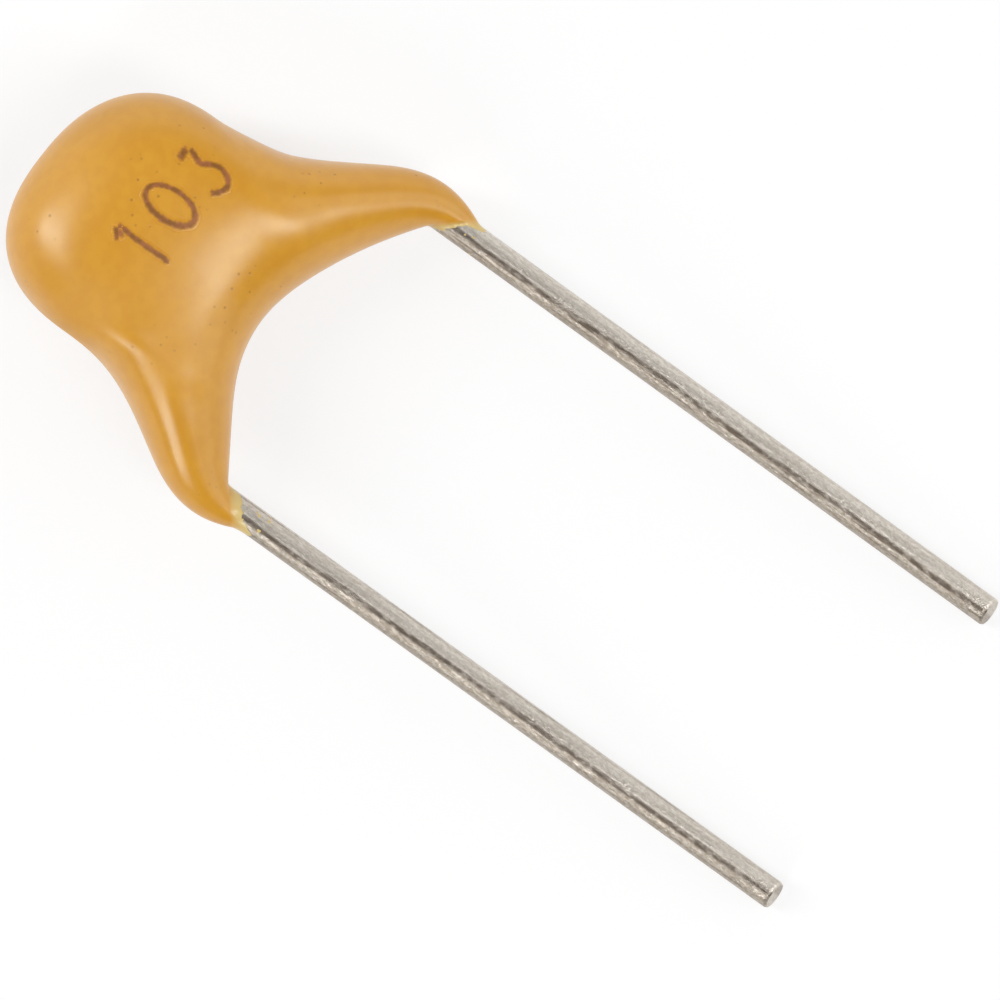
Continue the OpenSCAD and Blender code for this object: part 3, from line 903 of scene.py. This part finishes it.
# %% Epoxy
DRIFT_SCALE, CLOUD_SCALE, PATCH_SCALE, SWELL_SCALE = 520.0, 5200.0, 1500.0, 2600.0
PIN_SCALE, PIN_GROUP_SCALE = 6500.0, 800.0
CLOUD_STRENGTH, PIN_DARKNESS, FILM_PALENESS = 0.2, 0.5, 0.8
PIN_DEPTH, SWELL_DEPTH = 0.000006, 0.000004
LEG_ROUGHNESS, BODY_ROUGHNESS, MATT_FACTOR = 0.292, 0.33, 1.9
LEG_GLOSS_TO, BODY_GLOSS_FROM = 0.00446, 0.00545


def epoxy_colour(tree, place):
    """Ochre that drifts between two shades, under a faint browner cloud."""
    drift = ramp(tree, noise(tree, place, DRIFT_SCALE, 3.0), 0.32, 0.68)
    cloud = ramp(tree, noise(tree, place, CLOUD_SCALE), 0.35, 0.65)
    ochre = mix(tree, drift, paint(203, 143, 35), paint(210, 150, 43))
    return mix(tree, product(tree, cloud, CLOUD_STRENGTH), ochre, paint(190, 124, 28))


def epoxy_roughness(tree, place):
    """Glossier on the legs, where the epoxy drained, than on the body, duller in the matt places, and a
    little patchy everywhere."""
    height = add_node(tree, "ShaderNodeSeparateXYZ", {0: place}).outputs["Y"]
    gloss = ramp(tree, height, LEG_GLOSS_TO, BODY_GLOSS_FROM, LEG_ROUGHNESS, BODY_ROUGHNESS)
    duller = ramp(tree, mark(tree, "matt"), 0.0, 1.0, 1.0, MATT_FACTOR)
    patches = ramp(tree, noise(tree, place, PATCH_SCALE), 0.3, 0.7, 0.96, 1.04)
    return product(tree, product(tree, gloss, duller), patches)


epoxy, tree, shader = new_material("ochre_epoxy", IOR=1.62, Specular_Tint=(0.88, 1.0, 0.94, 1.0))
place = object_place(tree)
ochre = epoxy_colour(tree, place)
pin_groups = ramp(tree, noise(tree, place, PIN_GROUP_SCALE, 1.0), 0.52, 0.66)
pin_cells = add_node(tree, "ShaderNodeTexVoronoi", {"Vector": place, "Scale": PIN_SCALE}).outputs["Distance"]
pinholes = product(tree, ramp(tree, pin_cells, 0.2, 0.07), pin_groups)
ochre = mix(tree, product(tree, pinholes, PIN_DARKNESS), ochre, paint(132, 84, 24))
film = ramp(tree, mark(tree, "thin"), 0.3, 0.85, 0.0, FILM_PALENESS)
coloured = mix(tree, film, ochre, paint(210, 190, 128))
dulled = epoxy_roughness(tree, place)
pitted = bump(tree, ramp(tree, pinholes, 0.0, 1.0, 1.0, 0.0), PIN_DEPTH, 0.4)
uneven = bump(tree, noise(tree, place, SWELL_SCALE), SWELL_DEPTH, 0.5, pitted)
plug_in(tree, shader, Base_Color=coloured, Roughness=dulled, Normal=uneven)
for piece in [coating, *flecks]:
    piece.data.materials.append(epoxy)
print("epoxy nodes:", len(tree.nodes))

# %% [markdown]
# ## Brown ink
# The ink is stamped, so it covers unevenly: dark brown where it lay thick, reddish where it tore, and next
# to nothing along the edges, where the ochre shows through. The mark on the mesh says how near a point is
# to the middle of its stroke, and noise frays the line between cover and none. A fade by transparency could
# show the coating below, but it is slow to render and easily lost in an export, so the ink's own material
# repeats the colour of the epoxy instead.

# %% Ink
FRAY_SCALE, BLOTCH_SCALE = 15000.0, 9000.0
FADE_FROM, FADE_TO = -0.3, 0.7
BARE_ROUGHNESS, INK_ROUGHNESS = 0.32, 0.44
FRAY_DEPTH = 0.000003


def add_ink(piece, name, darker, paler):
    """Ink over the epoxy's own colour. Its cover rises with the body of the ink, frayed by fine noise: body
    plus body times noise, less a half."""
    finish, tree, shader = new_material(name, IOR=1.5)
    place = object_place(tree)
    fray = noise(tree, place, FRAY_SCALE)
    frayed = maths(tree, "MULTIPLY_ADD", fray, mark(tree, "ink_body"), -0.5)
    cover = ramp(tree, maths(tree, "ADD", mark(tree, "ink_body"), frayed), FADE_FROM, FADE_TO)
    blotches = ramp(tree, noise(tree, place, BLOTCH_SCALE, 1.0), 0.4, 0.62)
    stain = mix(tree, blotches, darker, paler)
    coloured = mix(tree, cover, epoxy_colour(tree, place), stain)
    dulled = ramp(tree, cover, 0.0, 1.0, BARE_ROUGHNESS, INK_ROUGHNESS)
    plug_in(tree, shader, Base_Color=coloured, Roughness=dulled, Normal=bump(tree, fray, FRAY_DEPTH, 0.4))
    piece.data.materials.append(finish)
    print(name, "nodes:", len(tree.nodes))


add_ink(value_code, "brown_ink", paint(132, 82, 28), paint(154, 94, 50))
add_ink(ink_smudge, "faint_brown_ink", paint(152, 96, 42), paint(168, 104, 62))

# %% [markdown]
# ## Tinned wire
# The tin is dull, warm grey and drawn: everything on it runs along the wire. The mesh carries the angle
# round the wire, as a cosine and a sine, and the run along it, so noise that is read there with a short
# step round and a long one along gives streaks with no seam, which follow the bends. A UV map would do as
# well, but it would need a seam. Darker tin shows in fine hairs and in a mottle, and a few bright glints lie
# on it. The furrows are darkest of all: they are grooves darkened in their hollows, and along the main
# furrow, near the top of each wire, the dark line is also painted, as a painted reflection of the dim room
# overhead.
# The left side of each lead is painted darker too, a choice made for the look: it is painted shade, and on
# the real wire that side is darker only by what the tin mirrors.

# %% Wire
GRAIN_DEPTH = 0.000005
tinned, tree, shader = new_material("tinned_wire", Metallic=1.0)
wire_place = mark(tree, "wire_place", "Vector")


def drawn_noise(around, along, low, high, detail=3.0, roughness=0.5, to_low=0.0):
    """Noise on the wire, stretched to so many blotches round it and to a mm of it, as a smooth step."""
    inputs = {"Vector": wire_place, "Scale": (around, around, along)}
    stretched = add_node(tree, "ShaderNodeMapping", inputs).outputs[0]
    return ramp(tree, noise(tree, stretched, 1.0, detail, roughness), low, high, to_low)


streaks = drawn_noise(3.2, 0.7, 0.36, 0.64)
hairs = drawn_noise(8.0, 3.5, 0.36, 0.66, roughness=0.6)
mottle = drawn_noise(5.0, 13.0, 0.38, 0.66, roughness=0.65)
glints = drawn_noise(7.0, 17.0, 0.66, 0.76, detail=1.0)
breaks = drawn_noise(2.0, 5.0, 0.3, 0.58, detail=2.0, roughness=0.6, to_low=0.35)
# Darkened grooves, and painted reflection: the main furrow near the top of each wire is painted dark where
# the tin would mirror the dim room overhead.
furrow = product(tree, ramp(tree, mark(tree, "groove"), 0.05, 0.95), breaks)
across = add_node(tree, "ShaderNodeSeparateXYZ", {0: wire_place}).outputs["X"]
# Painted shade: the side of each wire that faces -X, away from the bright side of the room, is painted
# darker.
painted_shade_side = product(tree, ramp(tree, across, 0.0, -0.32), ramp(tree, mottle, 0.0, 1.0, 0.75, 1.0))
metal = mix(tree, streaks, paint(214, 206, 195), paint(229, 222, 212))
# Each layer over the streaks: its pattern, its strength and its shade. The darker side is painted shade,
# and the furrow layer is partly a painted dark reflection.
TIN_LAYERS = [(hairs, 0.22, (166, 155, 141)), (mottle, 0.32, (152, 139, 122)),
              (painted_shade_side, 0.62, (140, 126, 109)), (glints, 0.7, (236, 232, 224)),
              (furrow, 0.85, (88, 75, 65))]
for pattern, strength, shade in TIN_LAYERS:
    metal = mix(tree, product(tree, pattern, strength), metal, paint(*shade))
dulled = ramp(tree, mottle, 0.0, 1.0, 0.36, 0.46)
grained = bump(tree, hairs, GRAIN_DEPTH, 0.5, bump(tree, mottle, GRAIN_DEPTH, 0.5))
plug_in(tree, shader, Base_Color=metal, Roughness=dulled, Normal=grained)
for piece in wires:
    piece.data.materials.append(tinned)
print("tin nodes:", len(tree.nodes))

# %% [markdown]
# ## What the coating seals in
# The chip, its plates, its end caps and the solder keep their measured shapes, because the coating hides
# them. They still get the finish of the real thing, so that the part can be opened up or cut away: pale
# fired ceramic with a fine grain, dull nickel plates, fired metal caps and grey solder. One recipe with
# other numbers makes all four, so it is written once and run through a table.

# %% Finishes of the sealed pieces
FINE_GRAIN, FINE_DEPTH = 5, 0.000004
# Each finish: how its nodes' names start, two shades, a grain's scale, roughness from and to, and metal.
SEALED = {
    "fired_ceramic": (["ceramic_chip"], (206, 194, 168), (222, 212, 190), 9000.0, (0.45, 0.6), 0.0),
    "nickel_plate": (["electrode_"], (150, 145, 138), (172, 167, 160), 14000.0, (0.35, 0.5), 1.0),
    "fired_end_metal": (["left_end_termination", "right_end_termination"],
                        (178, 176, 170), (200, 198, 192), 11000.0, (0.4, 0.55), 1.0),
    "grey_solder": (["left_solder_joint", "right_solder_joint"],
                    (160, 160, 162), (188, 188, 190), 6000.0, (0.28, 0.42), 1.0),
}
for name, (starts, darker, paler, size, gloss, metallic) in SEALED.items():
    finish, tree, shader = new_material(name, Metallic=metallic)
    place = object_place(tree)
    coarse, fine = noise(tree, place, size, 3.0), noise(tree, place, size * FINE_GRAIN)
    coloured = mix(tree, ramp(tree, coarse, 0.35, 0.65), paint(*darker), paint(*paler))
    dulled = ramp(tree, fine, 0.3, 0.7, *gloss)
    plug_in(tree, shader, Base_Color=coloured, Roughness=dulled, Normal=bump(tree, fine, FINE_DEPTH, 0.4))
    members = [node for node in frame["nodes"] if node.startswith(tuple(starts))]
    for node in members:
        frame["nodes"][node].data.materials.clear()
        frame["nodes"][node].data.materials.append(finish)
    print(name, "on", len(members), "nodes")

# %% [markdown]
# ## The table and the room
# The part lies on a pale table. The table is part white paint and part plain glow, which only the camera
# and reflections see, so it stays near white and still keeps a soft shadow. The room round it is brighter
# at the horizon than overhead, where a camera would hang, which draws a dark line down the middle of a shiny
# wire; on these wires that line is also painted into the tin, as a painted dark reflection along the main
# furrow. It is brighter on one side too, as beside a window. A picture of a real room could light the part
# as well, but two plain ramps of grey are enough, and each can be changed on its own.

# %% Table
TABLE_HALF = 0.6
TABLE_GLOW = 0.75
TABLE_SCALE = 60.0
corners = TABLE_HALF * np.array([(-1, -1, 0), (1, -1, 0), (1, 1, 0), (-1, 1, 0)])
table_mesh = bpy.data.meshes.new("table")
table_mesh.from_pydata(corners, [], [(0, 1, 2, 3)])
new_object("table", table_mesh)
white, tree, shader = new_material("white_table", Roughness=0.9)
clouds = noise(tree, object_place(tree), TABLE_SCALE)
plug_in(tree, shader, Base_Color=mix(tree, clouds, paint(240, 240, 240), paint(246, 246, 246)))
glow = add_node(tree, "ShaderNodeEmission", {"Color": (1, 1, 1, 1), "Strength": 1.0}).outputs[0]
rays = add_node(tree, "ShaderNodeLightPath").outputs


def seen_rays(tree, rays):
    """1 for what the camera sees, straight or in gloss or glass, and 0 for light that falls on things."""
    either = maths(tree, "MAXIMUM", rays["Is Camera Ray"], rays["Is Glossy Ray"])
    return maths(tree, "MAXIMUM", either, rays["Is Transmission Ray"])


share = product(tree, seen_rays(tree, rays), TABLE_GLOW)
blended = add_node(tree, "ShaderNodeMixShader", {0: share, 1: shader.outputs[0], 2: glow}).outputs[0]
tree.links.new(blended, tree.nodes["Material Output"].inputs["Surface"])
table_mesh.materials.append(white)
print("table:", 2 * TABLE_HALF, "m square")

# %% Room
# Brightness at the horizon and overhead, and the factor for the side away from the bright one and for it.
ROOM_LOW, ROOM_TOP = 0.63, 0.08
HORIZON, ZENITH = 0.05, 1.0
BRIGHT_SIDE = math.radians(52)
ROOM_FAR, ROOM_NEAR = 0.2, 2.1
DIM_END, BRIGHT_END = -0.9, 1.0
world = bpy.data.worlds.new("room")
bpy.context.scene.world = world
world.use_nodes = True
tree = world.node_tree
direction = add_node(tree, "ShaderNodeTexCoord").outputs["Generated"]
split = add_node(tree, "ShaderNodeSeparateXYZ", {0: direction}).outputs
overhead = ramp(tree, split["Z"], HORIZON, ZENITH, ROOM_LOW, ROOM_TOP)
inputs = {0: direction, 1: (math.cos(BRIGHT_SIDE), math.sin(BRIGHT_SIDE), 0)}
facing = add_node(tree, "ShaderNodeVectorMath", inputs, operation="DOT_PRODUCT").outputs["Value"]
sideways = ramp(tree, facing, DIM_END, BRIGHT_END, ROOM_FAR, ROOM_NEAR)
rays = add_node(tree, "ShaderNodeLightPath").outputs
inputs = {"Factor": rays["Is Camera Ray"], "A": product(tree, overhead, sideways), "B": 1.0}
level = add_node(tree, "ShaderNodeMix", inputs).outputs[0]
plug_in(tree, tree.nodes["Background"], Strength=level)
tree.nodes["Background"].inputs["Color"].default_value = (1, 1, 1, 1)
print("room nodes:", len(tree.nodes))

# %% [markdown]
# ## The camera and the lamps
# The camera hangs almost straight over the part, turned so that the leads run down to the right, and its
# long lens keeps both ends of so small a thing in proportion. Four flat lamps light it, as in a small
# studio, and each has its own highlight: a narrow key lamp draws the one on the pillow, a softbox on the
# side of the leads draws the one over the arch, and a tilted strip on the left draws the streak down the
# left leg, while a broad, weak softbox lifts the shade on the right. A sky could do it all at once, but
# lamps can be moved one by one until each highlight sits right. A lamp is sized by the angle that it covers,
# and its power follows from that, so a bigger one isn't brighter to look at. Together they give an upward
# patch about the light that shows its colour as it was mixed.

# %% Camera
ACROSS = math.radians(35.66)
VIEW_RIGHT = Vector((math.sin(ACROSS), -math.cos(ACROSS), 0))
VIEW_UP = Vector((math.cos(ACROSS), math.sin(ACROSS), 0))
UPRIGHT = Vector((0, 0, 1))
CAMERA_ELEVATION = math.radians(88)
CAMERA_DISTANCE = 0.1
FIELD_WIDTH = 0.01422
SENSOR = 36
NEAREST_SEEN = 0.005
AIM_HEIGHT, AIM_RIGHT, AIM_DOWN = 0.0008, 0.00043, 0.000613
AIM = UPRIGHT * AIM_HEIGHT + VIEW_RIGHT * AIM_RIGHT - VIEW_UP * AIM_DOWN
camera_back = UPRIGHT * math.sin(CAMERA_ELEVATION) - VIEW_UP * math.cos(CAMERA_ELEVATION)
camera_up = VIEW_UP * math.sin(CAMERA_ELEVATION) + UPRIGHT * math.cos(CAMERA_ELEVATION)
lens = bpy.data.cameras.new("overhead_camera")
lens.sensor_width = SENSOR
lens.lens = SENSOR * CAMERA_DISTANCE / FIELD_WIDTH
lens.clip_start = NEAREST_SEEN
camera = new_object("overhead_camera", lens)
camera.matrix_world = Matrix((VIEW_RIGHT, camera_up, camera_back)).transposed().to_4x4()
camera.location = AIM + camera_back * CAMERA_DISTANCE
bpy.context.scene.camera = camera
bpy.context.scene.view_settings.view_transform = "Standard"
print("lens:", round(lens.lens, 1), "mm")

# %% Lamps
LIT_POINT = Vector((0, 0.0035, 0.001))
LAMP_DISTANCE = 0.3
# Each lamp: its angle round the part from +X, its angle down from the zenith, its roll, half of the angle
# that it covers down and across, all in degrees, and its radiance.
LAMPS = {
    "key_lamp": (111, 45, -2, (17, 5), 12.4),
    "front_softbox": (264, 33, 27, (16, 7.2), 7.4),
    "right_softbox": (301, 59, 9, (25, 27), 1.35),
    "left_strip": (187, 58, -38, (15, 4.2), 10.5),
}


def add_lamp(name, around, down, roll, half_angles, radiance):
    """A flat lamp that faces the body. A side is twice the distance times the tangent of its half angle,
    and power = pi x area x radiance."""
    around, down, roll = (math.radians(angle) for angle in (around, down, roll))
    toward = Vector((math.sin(down) * math.cos(around), math.sin(down) * math.sin(around), math.cos(down)))
    below = Vector((math.cos(down) * math.cos(around), math.cos(down) * math.sin(around), -math.sin(down)))
    beside = toward.cross(below)
    long_axis = below * math.cos(roll) + beside * math.sin(roll)
    data = bpy.data.lights.new(name, "AREA")
    data.shape = "RECTANGLE"
    data.size, data.size_y = (2 * LAMP_DISTANCE * math.tan(math.radians(half)) for half in half_angles)
    data.energy = math.pi * data.size * data.size_y * radiance
    lamp = new_object(name, data)
    lamp.matrix_world = Matrix((long_axis, toward.cross(long_axis), toward)).transposed().to_4x4()
    lamp.location = LIT_POINT + toward * LAMP_DISTANCE
    print(name, "power", round(data.energy, 3), "W")


for name, setting in LAMPS.items():
    add_lamp(name, *setting)
